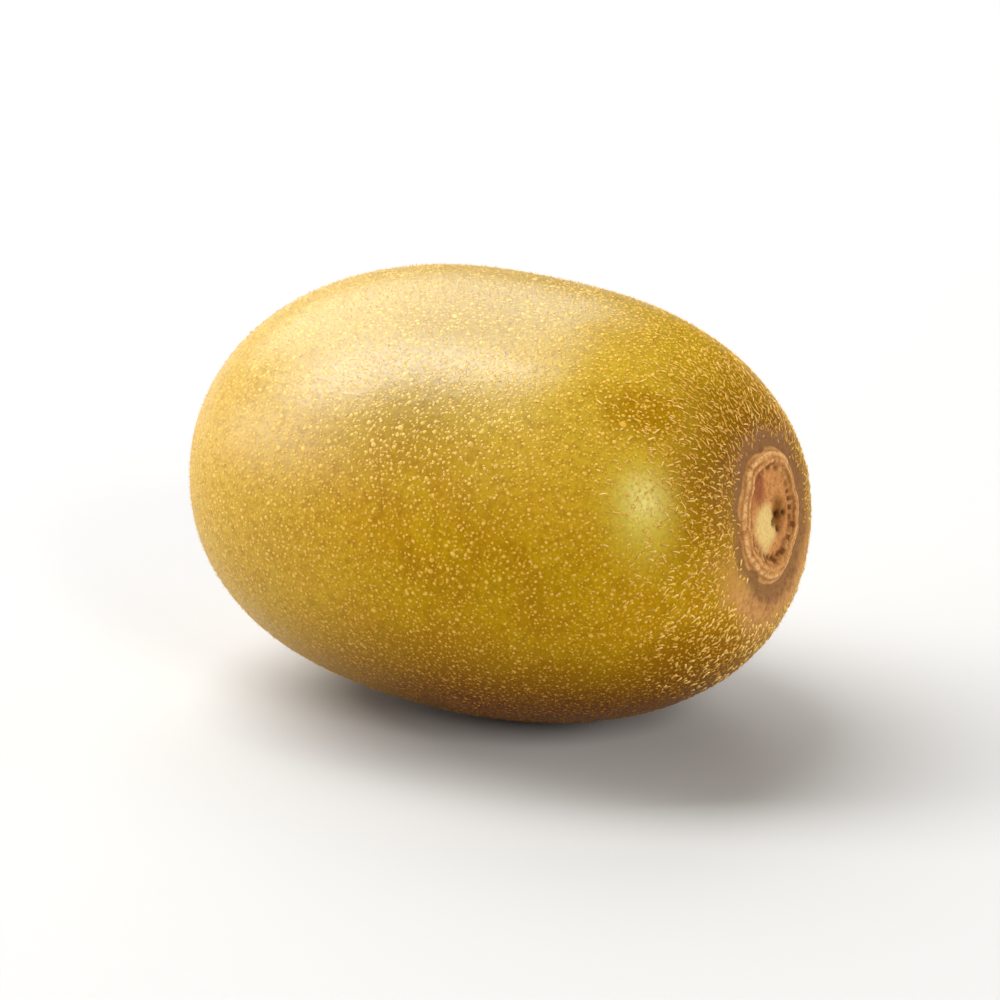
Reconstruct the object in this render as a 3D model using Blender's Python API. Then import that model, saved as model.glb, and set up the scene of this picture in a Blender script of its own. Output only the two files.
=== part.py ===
"""Golden kiwi fruit, one whole fruit as picked, lying on its side on a small flat spot.

Metres, +Z up. +X runs along the fruit towards its stem end. The origin is on the surface that
the fruit rests on, under the middle of its box. The fruit grew as one piece, so it is one solid:
a blunt oval body, the corky scar at the stem end, and the dried styles at the blossom end.
"""

import math
import random

import bmesh
import bpy
from mathutils import Matrix, Vector

MM = 0.001

# The body, a blunt oval: half its size along, across and up, before the ends are shaped
HALF_LENGTH = 37.0 * MM
HALF_WIDTH = 26.4 * MM
HALF_HEIGHT = 25.5 * MM
FULLNESS = 2.3  # exponent of the long outline: 2 is an ellipse, more is blunter
FLAT_SPOT_DEPTH = 0.25 * MM  # how far the resting spot is cut into the underside
BODY_CENTRE = Vector((1.0 * MM, 0.0, HALF_HEIGHT - FLAT_SPOT_DEPTH))

# Slow unevenness of the skin: faint long facets, and lumps larger than a fingertip
FACETS = 5
FACET_HEIGHT = 0.16 * MM
LUMP_HEIGHT = 0.22 * MM

# The stem end is flattened by a plane, tipped up a little and off the axis, with a soft edge
STEM_FACE_CENTRE = Vector((34.95 * MM, 0.0, 3.6 * MM))
STEM_FACE_TILT = math.radians(8.0)
STEM_SHOULDER_SOFTNESS = 0.7 * MM

# The scar on it, by distance from its centre
CORK_RING_RADIUS = 6.15 * MM
CORK_RING_HALF_WIDTH = 1.0 * MM
CORK_RING_HEIGHT = 0.4 * MM
SCAR_HOLLOW_RADIUS = 8.6 * MM
SCAR_HOLLOW_DEPTH = 0.35 * MM
GROOVE_PLACE = (0.1 * MM, 0.3 * MM)  # across and up from the scar's centre
GROOVE_RADIUS = 5.0 * MM
GROOVE_HALF_WIDTH = 0.38 * MM
GROOVE_DEPTH = 0.35 * MM
DISC_RADIUS = 4.4 * MM
DISC_DEPTH = 0.2 * MM
PIT_PLACE = (2.2 * MM, -0.9 * MM)
PIT_RADIUS = 1.05 * MM
PIT_DEPTH = 0.6 * MM

# The blossom end rises to a low beak with a dimple, where the dried styles stand
BEAK_HEIGHT = 0.9 * MM
BEAK_RADIUS = 6.0 * MM
DIMPLE_DEPTH = 0.75 * MM
DIMPLE_RADIUS = 1.9 * MM
PUCKERS = 11
PUCKER_DEPTH = 0.1 * MM
PUCKER_RADIUS = 3.1 * MM

STYLES = 17
STYLE_LENGTH = 2.1 * MM
STYLE_THICKNESS = 0.5 * MM
STYLE_ROOT_DEPTH = 0.9 * MM
STYLE_ROOT_SPREAD = 1.05 * MM
STYLE_SIDES = 4
STYLE_JOINTS = 4
STYLE_SEED = 11

# Rings of points over the surface, by angle at the body's centre
POINTS_AROUND = 72
SCAR_EDGE_ANGLE = math.radians(18.5)
SCAR_RINGS = 18
BODY_RINGS = 24
BLOSSOM_EDGE_ANGLE = math.radians(166.0)
BLOSSOM_RINGS = 8

SKIN_COLOUR = (0.50, 0.29, 0.045, 1.0)
SKIN_ROUGHNESS = 0.55


def bump(distance, place, half_width):
    """A smooth hill, 1 at its place and fading to nothing about two half widths away."""
    return math.exp(-(((distance - place) / half_width) ** 2))


def slow_unevenness(direction):
    """How far the skin stands out or in from the plain oval, in that direction from the centre."""
    x, y, z = direction
    around = math.atan2(z, y)
    girth = 1.0 - x * x
    facets = math.cos(FACETS * around + 0.8) * girth * FACET_HEIGHT
    waves = math.sin(3.7 * x + 1.9 * y + 0.6) * math.cos(2.3 * z - 1.4 * x + 1.1)
    waves += 0.6 * math.sin(4.9 * y - 2.2 * z + 2.0) * math.cos(3.1 * x + 0.4)
    return facets + waves * girth * LUMP_HEIGHT


def oval_point(direction):
    """Where a ray from the body's centre meets the plain blunt oval, with its slow unevenness."""
    across = math.hypot(direction.y / HALF_WIDTH, direction.z / HALF_HEIGHT)
    along = abs(direction.x) / HALF_LENGTH
    reach = (along**FULLNESS + across**FULLNESS) ** (-1.0 / FULLNESS)
    return direction * (reach + slow_unevenness(direction))


def scar_relief(across, up):
    """Height of the scar's ring, groove, disc and pit, at a place on the stem end's face."""
    distance = math.hypot(across, up)
    around = math.atan2(up, across)
    wander = 1.0 + 0.035 * math.cos(2 * around + 3.4) + 0.022 * math.cos(5 * around + 2.0)
    wander += 0.012 * math.cos(9 * around)
    r = distance / wander
    crumple = 1.0 + 0.16 * math.cos(13 * around + 1.0) + 0.1 * math.cos(7 * around + 2.5)
    broken = 0.72 + 0.28 * math.cos(6 * around + 0.7)
    ring = CORK_RING_HEIGHT * crumple * bump(r, CORK_RING_RADIUS, CORK_RING_HALF_WIDTH)
    hollow = SCAR_HOLLOW_DEPTH * bump(r, SCAR_HOLLOW_RADIUS, 1.1 * CORK_RING_HALF_WIDTH)
    from_disc = math.hypot(across - GROOVE_PLACE[0], up - GROOVE_PLACE[1])
    groove = GROOVE_DEPTH * broken * bump(from_disc, GROOVE_RADIUS, GROOVE_HALF_WIDTH)
    disc = DISC_DEPTH / (1.0 + math.exp((from_disc - DISC_RADIUS) / (0.12 * DISC_RADIUS)))
    from_pit = math.hypot(across - PIT_PLACE[0], up - PIT_PLACE[1])
    pit = PIT_DEPTH * bump(from_pit, 0.0, PIT_RADIUS)
    return ring - hollow - groove - disc - pit


def with_stem_end(point):
    """The point moved to the flattened stem end and its scar, where it lies near them."""
    normal = Vector((math.cos(STEM_FACE_TILT), 0.0, math.sin(STEM_FACE_TILT)))
    up_the_face = Vector((-math.sin(STEM_FACE_TILT), 0.0, math.cos(STEM_FACE_TILT)))
    offset = point - STEM_FACE_CENTRE
    height = offset.dot(normal)
    if height < -8.0 * STEM_SHOULDER_SOFTNESS:
        return point
    softened = math.log1p(math.exp(-height / STEM_SHOULDER_SOFTNESS))
    flattened = -STEM_SHOULDER_SOFTNESS * softened
    relief = scar_relief(offset.y, offset.dot(up_the_face))
    return point + normal * (flattened - height + relief)


def with_blossom_end(point):
    """The point moved to the blossom end's beak, dimple and puckers, where it lies near them."""
    if point.x > 0.0:
        return point
    distance = math.hypot(point.y, point.z)
    around = math.atan2(point.z, point.y)
    beak = BEAK_HEIGHT * bump(distance, 0.0, BEAK_RADIUS)
    dimple = DIMPLE_DEPTH * bump(distance, 0.0, DIMPLE_RADIUS)
    puckers = PUCKER_DEPTH * math.cos(PUCKERS * around) * bump(distance, PUCKER_RADIUS, 1.4 * MM)
    return point - Vector((beak - dimple + puckers, 0.0, 0.0))


def skin_point(direction):
    """The finished surface in that direction, in the part's own frame."""
    return BODY_CENTRE + with_blossom_end(with_stem_end(oval_point(direction)))


def direction_at(from_stem, around):
    """A direction by its angle from the scar and its angle around the fruit.

    The rings of points are centred on the scar at the stem end, and on the axis further along.
    """
    scar_lift = math.atan2(STEM_FACE_CENTRE.z, STEM_FACE_CENTRE.x)
    turn = scar_lift * 0.5 * (1.0 + math.cos(min(math.pi, 2.0 * from_stem)))
    plain = Vector(
        (
            math.cos(from_stem),
            math.sin(from_stem) * math.cos(around),
            math.sin(from_stem) * math.sin(around),
        )
    )
    return Matrix.Rotation(-turn, 3, "Y") @ plain


def ring_angles():
    """Angles of the rings between the two poles, close together where the ends have relief."""
    angles = [SCAR_EDGE_ANGLE * (i + 1) / SCAR_RINGS for i in range(SCAR_RINGS)]
    stretch = BLOSSOM_EDGE_ANGLE - SCAR_EDGE_ANGLE
    angles += [SCAR_EDGE_ANGLE + stretch * (i + 1) / BODY_RINGS for i in range(BODY_RINGS)]
    end = math.pi - BLOSSOM_EDGE_ANGLE
    angles += [BLOSSOM_EDGE_ANGLE + end * (i + 1) / (BLOSSOM_RINGS + 1) for i in range(BLOSSOM_RINGS)]
    return angles


def body_mesh():
    """The fruit's skin as one closed surface of rings, with a point at each pole."""
    bm = bmesh.new()
    stem_pole = bm.verts.new(skin_point(direction_at(0.0, 0.0)))
    blossom_pole = bm.verts.new(skin_point(direction_at(math.pi, 0.0)))
    turn = 2.0 * math.pi / POINTS_AROUND
    rings = [
        [bm.verts.new(skin_point(direction_at(angle, turn * i))) for i in range(POINTS_AROUND)]
        for angle in ring_angles()
    ]
    for i in range(POINTS_AROUND):
        j = (i + 1) % POINTS_AROUND
        bm.faces.new((stem_pole, rings[0][i], rings[0][j]))
        bm.faces.new((blossom_pole, rings[-1][j], rings[-1][i]))
        for near, far in zip(rings, rings[1:]):
            bm.faces.new((near[i], far[i], far[j], near[j]))
    return bm


def cut_flat_spot(bm):
    """Cuts the underside level with the ground and closes it with one flat face."""
    everything = bm.verts[:] + bm.edges[:] + bm.faces[:]
    cut = bmesh.ops.bisect_plane(
        bm, geom=everything, plane_co=(0, 0, 0), plane_no=(0, 0, -1), clear_outer=True
    )
    rim = [item for item in cut["geom_cut"] if isinstance(item, bmesh.types.BMEdge)]
    bmesh.ops.contextual_create(bm, geom=rim)


def style_mesh(root, lean, length, curl):
    """One dried style: a thin bent spike from under the skin, tapering to a blunt tip."""
    bm = bmesh.new()
    side = lean.cross(Vector((-1.0, 0.0, 0.0))).normalized()
    outward = side.cross(lean).normalized()
    start = root - outward * STYLE_ROOT_DEPTH
    loops = []
    for step in range(STYLE_JOINTS + 1):
        share = step / STYLE_JOINTS
        rise = math.sin(math.pi * 0.62 * share) * 0.5 * length + STYLE_ROOT_DEPTH * share
        place = start + lean * length * share**1.3 + outward * rise
        place += side * curl * length * share * share
        thick = 0.5 * STYLE_THICKNESS * (1.0 - 0.5 * share)
        loop = []
        for corner in range(STYLE_SIDES):
            angle = 2.0 * math.pi * corner / STYLE_SIDES + 0.4
            offset = side * math.cos(angle) + (outward - lean * share).normalized() * math.sin(angle)
            loop.append(bm.verts.new(place + offset * thick))
        loops.append(loop)
    for low, high in zip(loops, loops[1:]):
        for i in range(STYLE_SIDES):
            j = (i + 1) % STYLE_SIDES
            bm.faces.new((low[i], low[j], high[j], high[i]))
    bm.faces.new(loops[0][::-1])
    bm.faces.new(loops[-1])
    bmesh.ops.recalc_face_normals(bm, faces=bm.faces)
    return bm


def dried_styles():
    """The styles round the blossom end's dimple, each leaning out its own way."""
    draw = random.Random(STYLE_SEED)
    for i in range(STYLES):
        around = 2.0 * math.pi * (i + draw.uniform(-0.3, 0.3)) / STYLES
        lean = Vector((0.0, math.cos(around), math.sin(around)))
        spread = STYLE_ROOT_SPREAD * draw.uniform(0.45, 1.0)
        toward_root = (Vector((-HALF_LENGTH, 0.0, 0.0)) + lean * spread).normalized()
        length = STYLE_LENGTH * draw.uniform(0.7, 1.15)
        yield style_mesh(skin_point(toward_root), lean, length, draw.uniform(-0.5, 0.5))


def object_from(bm, name, collection):
    """A new object that holds the finished mesh."""
    mesh = bpy.data.meshes.new(name)
    bm.to_mesh(mesh)
    bm.free()
    made = bpy.data.objects.new(name, mesh)
    collection.objects.link(made)
    return made


def fuse_styles(fruit):
    """Joins every style to the fruit in one Boolean union, so that they are one solid."""
    helpers = bpy.data.collections.new("styles")
    bpy.context.scene.collection.children.link(helpers)
    for number, bm in enumerate(dried_styles()):
        object_from(bm, f"style_{number}", helpers)
    union = fruit.modifiers.new("fuse_styles", "BOOLEAN")
    union.operation = "UNION"
    union.operand_type = "COLLECTION"
    union.collection = helpers
    union.solver = "EXACT"
    bpy.context.view_layer.objects.active = fruit
    bpy.ops.object.modifier_apply(modifier=union.name)
    for helper in list(helpers.objects):
        bpy.data.objects.remove(helper)
    bpy.data.collections.remove(helpers)


def skin_material():
    """Golden brown, matt skin."""
    material = bpy.data.materials.new("kiwi_skin")
    material.use_nodes = True
    shader = material.node_tree.nodes["Principled BSDF"]
    shader.inputs["Base Color"].default_value = SKIN_COLOUR
    shader.inputs["Roughness"].default_value = SKIN_ROUGHNESS
    shader.inputs["Metallic"].default_value = 0.0
    return material


def build():
    for leftover in list(bpy.data.objects):
        bpy.data.objects.remove(leftover)
    bm = body_mesh()
    cut_flat_spot(bm)
    bmesh.ops.recalc_face_normals(bm, faces=bm.faces)
    fruit = object_from(bm, "kiwi_fruit", bpy.context.scene.collection)
    fuse_styles(fruit)
    fruit.data.materials.clear()
    fruit.data.materials.append(skin_material())
    fruit.data.shade_smooth()
    fruit.data.set_sharp_from_angle(angle=math.radians(50.0))


build()
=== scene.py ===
"""Looks of a golden kiwi fruit: skin, pale dots, bristles, down, stem scar and dried styles.

Metres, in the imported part's frame: +Z up, +X along the fruit towards its stem end. The skin repeats
the part's own shape on a finer mesh and adds the relief that is too fine for the solid.
"""

import itertools
import math
import random

import bpy
import numpy as np
from mathutils import Matrix, Vector


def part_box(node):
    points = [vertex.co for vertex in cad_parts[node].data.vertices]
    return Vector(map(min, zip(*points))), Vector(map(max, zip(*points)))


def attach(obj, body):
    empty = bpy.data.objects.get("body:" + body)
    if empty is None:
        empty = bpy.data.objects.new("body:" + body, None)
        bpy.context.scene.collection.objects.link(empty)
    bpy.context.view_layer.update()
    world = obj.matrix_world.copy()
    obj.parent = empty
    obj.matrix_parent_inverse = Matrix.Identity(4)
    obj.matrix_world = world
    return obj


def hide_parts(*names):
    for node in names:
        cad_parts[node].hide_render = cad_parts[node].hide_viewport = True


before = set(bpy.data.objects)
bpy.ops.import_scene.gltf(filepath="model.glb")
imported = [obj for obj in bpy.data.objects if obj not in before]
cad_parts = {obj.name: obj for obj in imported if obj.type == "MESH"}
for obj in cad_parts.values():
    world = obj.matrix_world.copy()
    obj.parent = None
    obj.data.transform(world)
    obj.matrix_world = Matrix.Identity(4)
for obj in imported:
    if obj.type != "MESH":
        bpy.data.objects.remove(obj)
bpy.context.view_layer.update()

MM = 0.001
NODE = "kiwi_fruit"
BODY = "root"

# The body's shape, as in the part's source
HALF_LENGTH = 37.0 * MM
HALF_WIDTH = 26.4 * MM
HALF_HEIGHT = 25.5 * MM
FULLNESS = 2.3
FLAT_SPOT_DEPTH = 0.25 * MM
BODY_CENTRE = np.array([1.0 * MM, 0.0, HALF_HEIGHT - FLAT_SPOT_DEPTH])
FACETS = 5
FACET_HEIGHT = 0.16 * MM
LUMP_HEIGHT = 0.22 * MM

# The stem end and its scar, as in the part's source
STEM_FACE_CENTRE = np.array([34.95 * MM, 0.0, 3.6 * MM])
STEM_FACE_TILT = math.radians(8.0)
STEM_SHOULDER_SOFTNESS = 0.7 * MM
CORK_RING_RADIUS = 6.15 * MM
CORK_RING_HALF_WIDTH = 1.0 * MM
CORK_RING_HEIGHT = 0.4 * MM
SCAR_HOLLOW_RADIUS = 8.6 * MM
SCAR_HOLLOW_DEPTH = 0.35 * MM
GROOVE_PLACE = (0.1 * MM, 0.3 * MM)
GROOVE_RADIUS = 5.0 * MM
GROOVE_HALF_WIDTH = 0.38 * MM
GROOVE_DEPTH = 0.35 * MM
DISC_RADIUS = 4.4 * MM
DISC_DEPTH = 0.2 * MM
PIT_PLACE = (2.2 * MM, -0.9 * MM)
PIT_RADIUS = 1.05 * MM
PIT_DEPTH = 0.6 * MM

# The blossom end and its dried styles, as in the part's source
BEAK_HEIGHT = 0.9 * MM
BEAK_RADIUS = 6.0 * MM
DIMPLE_DEPTH = 0.75 * MM
DIMPLE_RADIUS = 1.9 * MM
PUCKERS = 11
PUCKER_DEPTH = 0.1 * MM
PUCKER_RADIUS = 3.1 * MM
PUCKER_HALF_WIDTH = 1.4 * MM
STYLES = 17
STYLE_LENGTH = 2.1 * MM
STYLE_THICKNESS = 0.5 * MM
STYLE_ROOT_DEPTH = 0.9 * MM
STYLE_ROOT_SPREAD = 1.05 * MM
STYLE_SEED = 11

# Relief that only the fine mesh has
SWELL_SIZE = 6.0 * MM
SWELL_HEIGHT = 0.035 * MM
PEEL_SIZE = 1.9 * MM
PEEL_HEIGHT = 0.014 * MM
CORK_GRAIN = 0.55 * MM
CORK_GRAIN_HEIGHT = 0.1 * MM
CORK_LAYER_HEIGHT = 0.07 * MM
CORK_LAYER_WIDTH = 0.78 * MM
CORK_MIDDLE_RADIUS = 6.85 * MM
CORK_WANDER = 0.22 * MM  # how far the layers stray from round
CORK_WANDER_SIZE = 2.2 * MM
CORK_TEAR_SIZE = 0.7 * MM
CORK_CRACK_RADIUS = 7.1 * MM
CORK_CRACK_HALF_WIDTH = 0.5 * MM
CORK_CRACK_DEPTH = 0.14 * MM
CORK_INSIDE = (4.5 * MM, 5.4 * MM)  # the layers set in between these distances from the disc's middle
CORK_OUTSIDE = (7.7 * MM, 7.2 * MM)  # and the cork's grain ends between these radii
RING_FOOT_RADIUS = 7.6 * MM
RING_FOOT_HALF_WIDTH = 0.28 * MM
RING_FOOT_DEPTH = 0.18 * MM
CRENELS = 19
CRENEL_DEPTH = 0.16 * MM
TEETH_RADIUS = 5.45 * MM
TEETH_HALF_WIDTH = 0.34 * MM
SECOND_LINE_RADIUS = 5.65 * MM
SECOND_LINE_HALF_WIDTH = 0.16 * MM
PIT_HOLES = np.array([[0.8, -1.2], [2.6, -0.8], [3.7, -0.9], [1.9, -2.3]]) * MM
PIT_HOLE_RADIUS = 0.42 * MM
PIT_HOLE_DEPTH = 0.35 * MM

# The fine mesh: points in each ring, and rings in each stretch of the surface
POINTS_AROUND = 448
SCAR_EDGE_ANGLE = math.radians(18.5)
SCAR_RINGS = 94
BODY_RINGS = 92
BLOSSOM_EDGE_ANGLE = math.radians(166.0)
BLOSSOM_RINGS = 32

# The pale dots that cover the skin, the bristles round the stem end, and the down. Each covers the
# skin between two angles from the scar.
DOTS_START = math.radians(14.0)
DOTS_MIDDLE = math.radians(88.0)
DOTS_END = math.radians(177.0)
DOT_SPACING = 0.75 * MM
DOT_RADIUS = 0.185 * MM
DOT_HEIGHT = 0.06 * MM
DOT_SIDES = 5
DOT_RINGS = ((1.0, -0.35), (0.66, 0.72))  # reach and rise of a dot's two rings, below its tip
BRISTLES_FIRST = math.radians(11.0)
BRISTLES_LAST = math.radians(60.0)
BRISTLE_SPACING = 0.78 * MM
BRISTLE_LENGTH = 0.85 * MM
BRISTLE_RADIUS = 0.15 * MM
BRISTLE_ROOT = 0.05 * MM  # how deep the bristles start under the skin
DOWN_FIRST = math.radians(14.0)
DOWN_LAST = math.radians(178.0)
DOWN_SPACING = 0.5 * MM
DOWN_LENGTH = 0.4 * MM
DOWN_RADIUS = 0.022 * MM
DOWN_ROOT = 0.04 * MM
FLOOR_GAP = 0.4 * MM  # no dots below this height, and no hairs below twice as much
FAR_AWAY = 1.0  # a distance that is past the reach of every zone

# Patches of other skin, where the photograph shows them. The green patch is partly a painted glint, and the
# glow patch is a painted highlight.
GREEN_GLINT_PATCH = np.array([28.3, -17.3, 33.6]) * MM
OLIVE_PATCH = np.array([25.3, -11.0, 42.8]) * MM
GLOW_PATCH = np.array([18.5, -15.5, 43.0]) * MM
BROWN_PATCH = np.array([33.5, -10.5, 14.0]) * MM

# Places of the scar's stains, across and up its face. The pit's stain is partly painted shade in its
# hollow.
PALE_PLACE = (-1.4 * MM, -1.3 * MM)
RUST_PLACE = (-1.9 * MM, 3.9 * MM)
SPOT_PLACE = (1.9 * MM, 5.7 * MM)
SPOT_RADIUS = 0.36 * MM
PIT_STAIN_AND_SHADE_PLACE = (PIT_PLACE[0], PIT_PLACE[1] + 0.5 * MM)
# the pit's stain is partly painted shade in its hollow
STAIN_HEIGHT = 1.3  # how much taller than wide the pit's stain and the rust are
BEADS = 24  # dark marks along the groove
CREST_LINE_RADIUS = 6.9 * MM
CREST_LINE_HALF_WIDTH = 0.26 * MM
RUST_REACH = 6.0 * MM  # the rust and the groove's marks stay within these radii
GROOVE_REACH = 7.2 * MM

# The dusty bare skin round the cork ring: its radius at the left, and what it gains elsewhere
DUST_RADIUS = 7.7 * MM
DUST_GAIN_ABOVE = 1.3 * MM
DUST_GAIN_BELOW = 1.8 * MM
DUST_GAIN_RIGHT = 2.1 * MM
BELOW_SCAR = 8.0 * MM  # how far below the scar's middle the tan skin is full

# Where each zone of the skin, and the crowd of bristles, fades out and where it is full: heights,
# lengths or distances
EDGES = {
    "underside_shade": (22.0 * MM, 5.0 * MM),
    "top_countershade": (33.0 * MM, 46.0 * MM),
    "waxy_height": (26.0 * MM, 42.0 * MM),
    "waxy_from_scar": (23.0 * MM, 38.0 * MM),
    "blossom_half": (6.0 * MM, -30.0 * MM),
    "stem_brown_from_scar": (23.0 * MM, 10.0 * MM),
    "stem_brown_height": (16.0 * MM, 38.0 * MM),
    "green_patch_and_glint": (6.6 * MM, 0.0),
    "olive_patch": (5.5 * MM, 1.65 * MM),
    "painted_glow": (20.0 * MM, 5.0 * MM),
    "brown_patch": (10.0 * MM, 3.0 * MM),
    "flush": (11.0 * MM, 3.0 * MM),
    "flush_dark": (3.2 * MM, 1.2 * MM),
    "tan_inside": (7.8 * MM, 9.6 * MM),
    "tan_outside": (15.0 * MM, 11.0 * MM),
    "tan_bare": (13.5 * MM, 11.0 * MM),
    "cork": (7.6 * MM, 7.3 * MM),
    "in_ring": (4.6 * MM, 5.4 * MM),
    "disc": (5.1 * MM, 4.5 * MM),
    "pale": (3.3 * MM, 1.5 * MM),
    "rust": (2.1 * MM, 0.8 * MM),
    "pit": (2.1 * MM, 0.7 * MM),
    "bristles": (27.0 * MM, 11.9 * MM),
}

# The camera, at the angles that the photograph's outline and scar give
AZIMUTH = math.radians(28.0)
ELEVATION = math.radians(20.5)
CAMERA_DISTANCE = 0.95
FRUIT_SHARE = 0.62  # how much of the picture's width the fruit takes
SHOWN_WIDTH = 71.6 * MM  # how wide the fruit is from there
AIM_OFFSET = 1.0 * MM  # the aim is this far right of the fruit's middle, and below it
SENSOR_WIDTH = 36.0

# The studio. Each lamp: its name, its direction as shares of the picture's right, of its up and of
# the way back to the camera, its width and depth, its power, and its tint
FLOOR_HALF_WIDTH = 3.0
FLOOR_DROP = 0.05 * MM
FLOOR_SHADE = 0.57
SURROUND_STRENGTH = 0.12
LAMP_DISTANCE = 1.0
LAMPS = [
    ("key", (-0.48, 0.85, 0.1), 1.08, 0.4, 12.7, (1.0, 0.998, 0.99)),
    ("top_back", (-0.22, 0.86, -0.5), 1.1, 0.75, 8.0, (1.0, 1.0, 1.0)),
    ("left_fill", (-0.97, 0.16, -0.04), 0.6, 0.8, 5.2, (1.0, 0.99, 0.96)),
    ("right_fill", (1.0, 0.12, 0.04), 0.5, 0.6, 5.6, (1.0, 0.99, 0.97)),
    ("right_small", (0.4, 0.2, 0.89), 0.3, 0.42, 4.4, (1.0, 0.98, 0.9)),
]


def colour(red, green, blue):
    """A screen colour, 0 to 255, as the linear colour with alpha that shaders take."""
    screen = np.array([red, green, blue]) / 255.0
    linear = np.where(screen <= 0.04045, screen / 12.92, ((screen + 0.055) / 1.055) ** 2.4)
    return (*linear.tolist(), 1.0)


def bump(distance, place, half_width):
    """A smooth hill, 1 at its place and fading to nothing about two half widths away."""
    return np.exp(-(((distance - place) / half_width) ** 2))


def smooth_step(value, low, high):
    """0 below low, 1 above high, with soft ends. It falls instead where low is above high."""
    share = np.clip((value - low) / (high - low), 0.0, 1.0)
    return share * share * (3.0 - 2.0 * share)


def cell_values(cells, seed):
    """A fixed, random-looking number from -1 to 1 for each whole-numbered cell."""
    x, y, z = np.moveaxis(cells, -1, 0)
    mixed = (x * 73856093) ^ (y * 19349663) ^ (z * 83492791) ^ (seed * 6542989)
    mixed = (mixed ^ (mixed >> 13)) * 1274126177
    mixed = mixed ^ (mixed >> 16)
    return (mixed & 0xFFFF) / 0x7FFF - 1.0


def noise(points, size, seed):
    """Smooth noise from -1 to 1 at those points, with lumps about that size."""
    scaled = points / size
    low = np.floor(scaled).astype(np.int64)
    share = scaled - low
    soft = share * share * (3.0 - 2.0 * share)
    total = np.zeros(points.shape[:-1])
    for corner in itertools.product((0, 1), repeat=3):
        weight = np.prod(np.where(corner, soft, 1.0 - soft), axis=-1)
        total += weight * cell_values(low + corner, seed)
    return total


def grain(points, size, seed):
    """Noise of three sizes together, each half the one before."""
    parts = [noise(points, size / 2**i, seed + i) * 0.55**i for i in range(3)]
    return sum(parts) / 1.6


def slow_unevenness(directions):
    """How far the skin stands out or in from the plain oval, in each direction."""
    x, y, z = np.moveaxis(directions, -1, 0)
    girth = 1.0 - x * x
    facets = np.cos(FACETS * np.arctan2(z, y) + 0.8) * girth * FACET_HEIGHT
    waves = np.sin(3.7 * x + 1.9 * y + 0.6) * np.cos(2.3 * z - 1.4 * x + 1.1)
    waves += 0.6 * np.sin(4.9 * y - 2.2 * z + 2.0) * np.cos(3.1 * x + 0.4)
    return facets + waves * girth * LUMP_HEIGHT


def oval_points(directions):
    """Where rays from the body's centre meet the blunt oval, with its slow unevenness."""
    x, y, z = np.moveaxis(directions, -1, 0)
    across = np.hypot(y / HALF_WIDTH, z / HALF_HEIGHT)
    along = np.abs(x) / HALF_LENGTH
    reach = (along**FULLNESS + across**FULLNESS) ** (-1.0 / FULLNESS)
    return directions * (reach + slow_unevenness(directions))[..., None]


def scar_wander(around):
    """How far the scar's rings stray from round, by the angle around the scar."""
    wander = 1.0 + 0.035 * np.cos(2 * around + 3.4) + 0.022 * np.cos(5 * around + 2.0)
    return wander + 0.012 * np.cos(9 * around)


def groove_marks(across, up):
    """From 0 to 1, the broken groove round the disc, with its teeth below and its double line."""
    out_across, out_up = across - GROOVE_PLACE[0], up - GROOVE_PLACE[1]
    around = np.arctan2(out_up, out_across)
    r = np.hypot(out_across, out_up) / scar_wander(around)
    broken = 0.72 + 0.28 * np.cos(4 * around + 0.4)
    line = broken * bump(r, GROOVE_RADIUS, GROOVE_HALF_WIDTH)
    teeth = smooth_step(np.cos(CRENELS * around + 2.0 * np.sin(2 * around)), -0.1, 0.7)
    teeth = teeth * smooth_step(-np.sin(around), 0.1, 0.6) * bump(r, TEETH_RADIUS, TEETH_HALF_WIDTH)
    beside = smooth_step(np.cos(around), 0.3, 0.8)
    second = 0.6 * beside * bump(r, SECOND_LINE_RADIUS, SECOND_LINE_HALF_WIDTH)
    return line, teeth, second


def pit_holes(across, up):
    """From 0 to 1, the small dark holes at the bottom of the pit."""
    holes = np.zeros_like(across)
    for place in PIT_HOLES:
        away = np.hypot(across - place[0], up - place[1])
        holes = np.maximum(holes, bump(away, 0.0, PIT_HOLE_RADIUS))
    return holes


def cork_layers(across, up):
    """From -1 to 1, how the cork's layers stand out, and from 0 to 1 how far it is cracked."""
    around = np.arctan2(up, across)
    ring = np.stack([np.cos(around), np.sin(around)], axis=-1) * CORK_RING_RADIUS
    r = np.hypot(across, up) / scar_wander(around)
    slow = np.concatenate([ring, 0.3 * r[..., None]], axis=-1)
    bent = r + CORK_WANDER * noise(slow, CORK_WANDER_SIZE, 51)
    layers = np.cos(2.0 * np.pi * (bent - CORK_MIDDLE_RADIUS) / CORK_LAYER_WIDTH)
    fibres = noise(np.concatenate([0.6 * ring, 2.4 * bent[..., None]], axis=-1), CORK_GRAIN, 52)
    torn = noise(np.concatenate([ring, 0.2 * r[..., None]], axis=-1), CORK_TEAR_SIZE, 53)
    cracks = smooth_step(torn, 0.4, 0.8) * bump(r, CORK_CRACK_RADIUS, CORK_CRACK_HALF_WIDTH)
    return 0.55 * layers + 0.45 * fibres, cracks


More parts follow.
